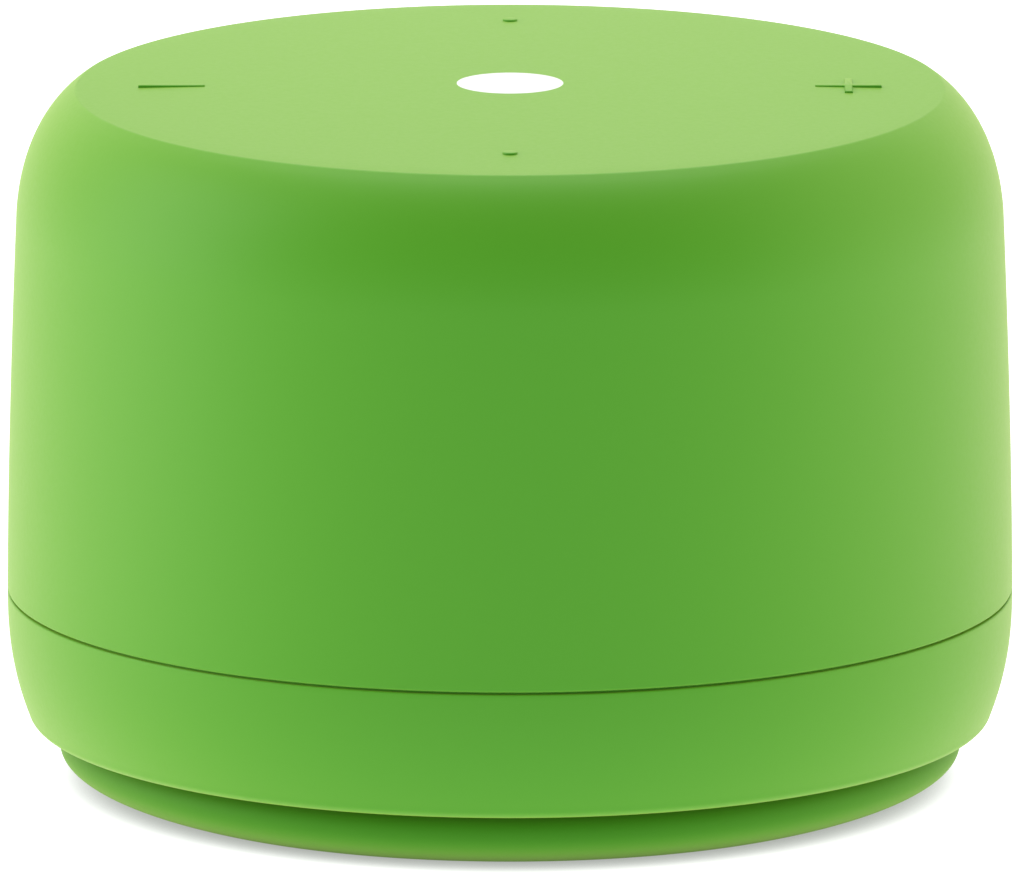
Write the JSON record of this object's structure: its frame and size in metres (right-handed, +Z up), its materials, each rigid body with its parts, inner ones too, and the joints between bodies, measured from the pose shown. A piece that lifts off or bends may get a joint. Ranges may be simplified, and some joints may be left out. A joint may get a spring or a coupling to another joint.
{
  "type": "shower speaker",
  "caption": "Round soft-skinned waterproof speaker on a wide suction cup, with press keys under raised marks on top and a driver that plays down.",
  "frame": {"origin": "centre of the suction cup's contact ring, on the surface that the speaker stands on", "axes": "+Z up through the cup and the drum, the front faces -Y, the charging port is at +Y"},
  "size_m": [0.07, 0.07, 0.0491],
  "materials": {
    "silicone": "fine matte",
    "shell_plastic": "soft matte",
    "black_plastic": "fine matte",
    "white_plastic": "satin",
    "board": "satin lacquer",
    "foam": "matte",
    "mesh_cloth": "woven",
    "cone_paper": "matte",
    "steel": "bright",
    "nickel": "plated",
    "copper": "enamelled wire",
    "cell": "laminated foil",
    "lamp": "clear",
    "wire_red": "satin",
    "wire_black": "satin"
  },
  "bodies": {
    "speaker": {"outer_sleeve": "silicone", "inner_housing": "black_plastic", "base_shell": "shell_plastic", "housing_gasket": "foam", "acoustic_mesh": "mesh_cloth", "driver_gasket": "foam", "driver_basket": "steel", "driver_yoke": "steel", "driver_magnet": "nickel", "driver_pole_plate": "steel", "control_board": "board", "radio_module": "steel", "amplifier_chip": "black_plastic", "battery_carrier": "white_plastic", "battery_cell": "cell", "battery_pad": "foam", "charging_socket": "steel", "microphone": "steel", "status_lamp": "lamp", "volume_up_switch": "steel", "volume_down_switch": "steel", "play_switch": "steel", "power_switch": "steel", "cup_washer": "steel", "cup_screw": "steel", "case_screw_1": "steel", "case_screw_2": "steel", "case_screw_3": "steel", "board_screw_1": "steel", "board_screw_2": "steel", "board_screw_3": "steel", "driver_screw_1": "steel", "driver_screw_2": "steel", "driver_screw_3": "steel", "driver_screw_4": "steel", "driver_lead_red": "wire_red", "driver_lead_black": "wire_black", "battery_lead_red": "wire_red", "battery_lead_black": "wire_black"},
    "volume_up": {"volume_up_key": "silicone", "volume_up_switch_stem": "black_plastic"},
    "volume_down": {"volume_down_key": "silicone", "volume_down_switch_stem": "black_plastic"},
    "play": {"play_key": "silicone", "play_switch_stem": "black_plastic"},
    "power": {"power_key": "silicone", "power_switch_stem": "black_plastic"},
    "port_cover": {"port_flap": "silicone"},
    "diaphragm": {"driver_cone": "cone_paper", "dust_cap": "cone_paper", "voice_coil": "copper", "cone_surround": "foam", "driver_spider": "mesh_cloth"},
    "cup": {"suction_cup": "silicone"}
  },
  "joints": [
    {"name": "volume_up_press", "type": "slide", "parent": "speaker", "child": "volume_up", "axis": [0, 0, -1], "range_m": [0, 0.00035], "stiffness_N_per_m": 4000},
    {"name": "volume_down_press", "type": "slide", "parent": "speaker", "child": "volume_down", "axis": [0, 0, -1], "range_m": [0, 0.00035], "stiffness_N_per_m": 4000},
    {"name": "play_press", "type": "slide", "parent": "speaker", "child": "play", "axis": [0, 0, -1], "range_m": [0, 0.00035], "stiffness_N_per_m": 4000},
    {"name": "power_press", "type": "slide", "parent": "speaker", "child": "power", "axis": [0, 0, -1], "range_m": [0, 0.00035], "stiffness_N_per_m": 4000},
    {"name": "flap_hinge", "type": "hinge", "parent": "speaker", "child": "port_cover", "pos_m": [0, 0.0344, 0.03225], "axis": [-1, 0, 0], "range_deg": [0, 110]},
    {"name": "cone_travel", "type": "slide", "parent": "speaker", "child": "diaphragm", "axis": [0, 0, -1], "range_m": [-0.0008, 0.0008], "stiffness_N_per_m": 1200, "deforming": ["cone_surround", "driver_spider"]},
    {"name": "cup_press", "type": "slide", "parent": "speaker", "child": "cup", "axis": [0, 0, 1], "range_m": [0, 0.0022], "stiffness_N_per_m": 3000, "springref_m": -0.0008, "deforming": ["suction_cup"]}
  ]
}
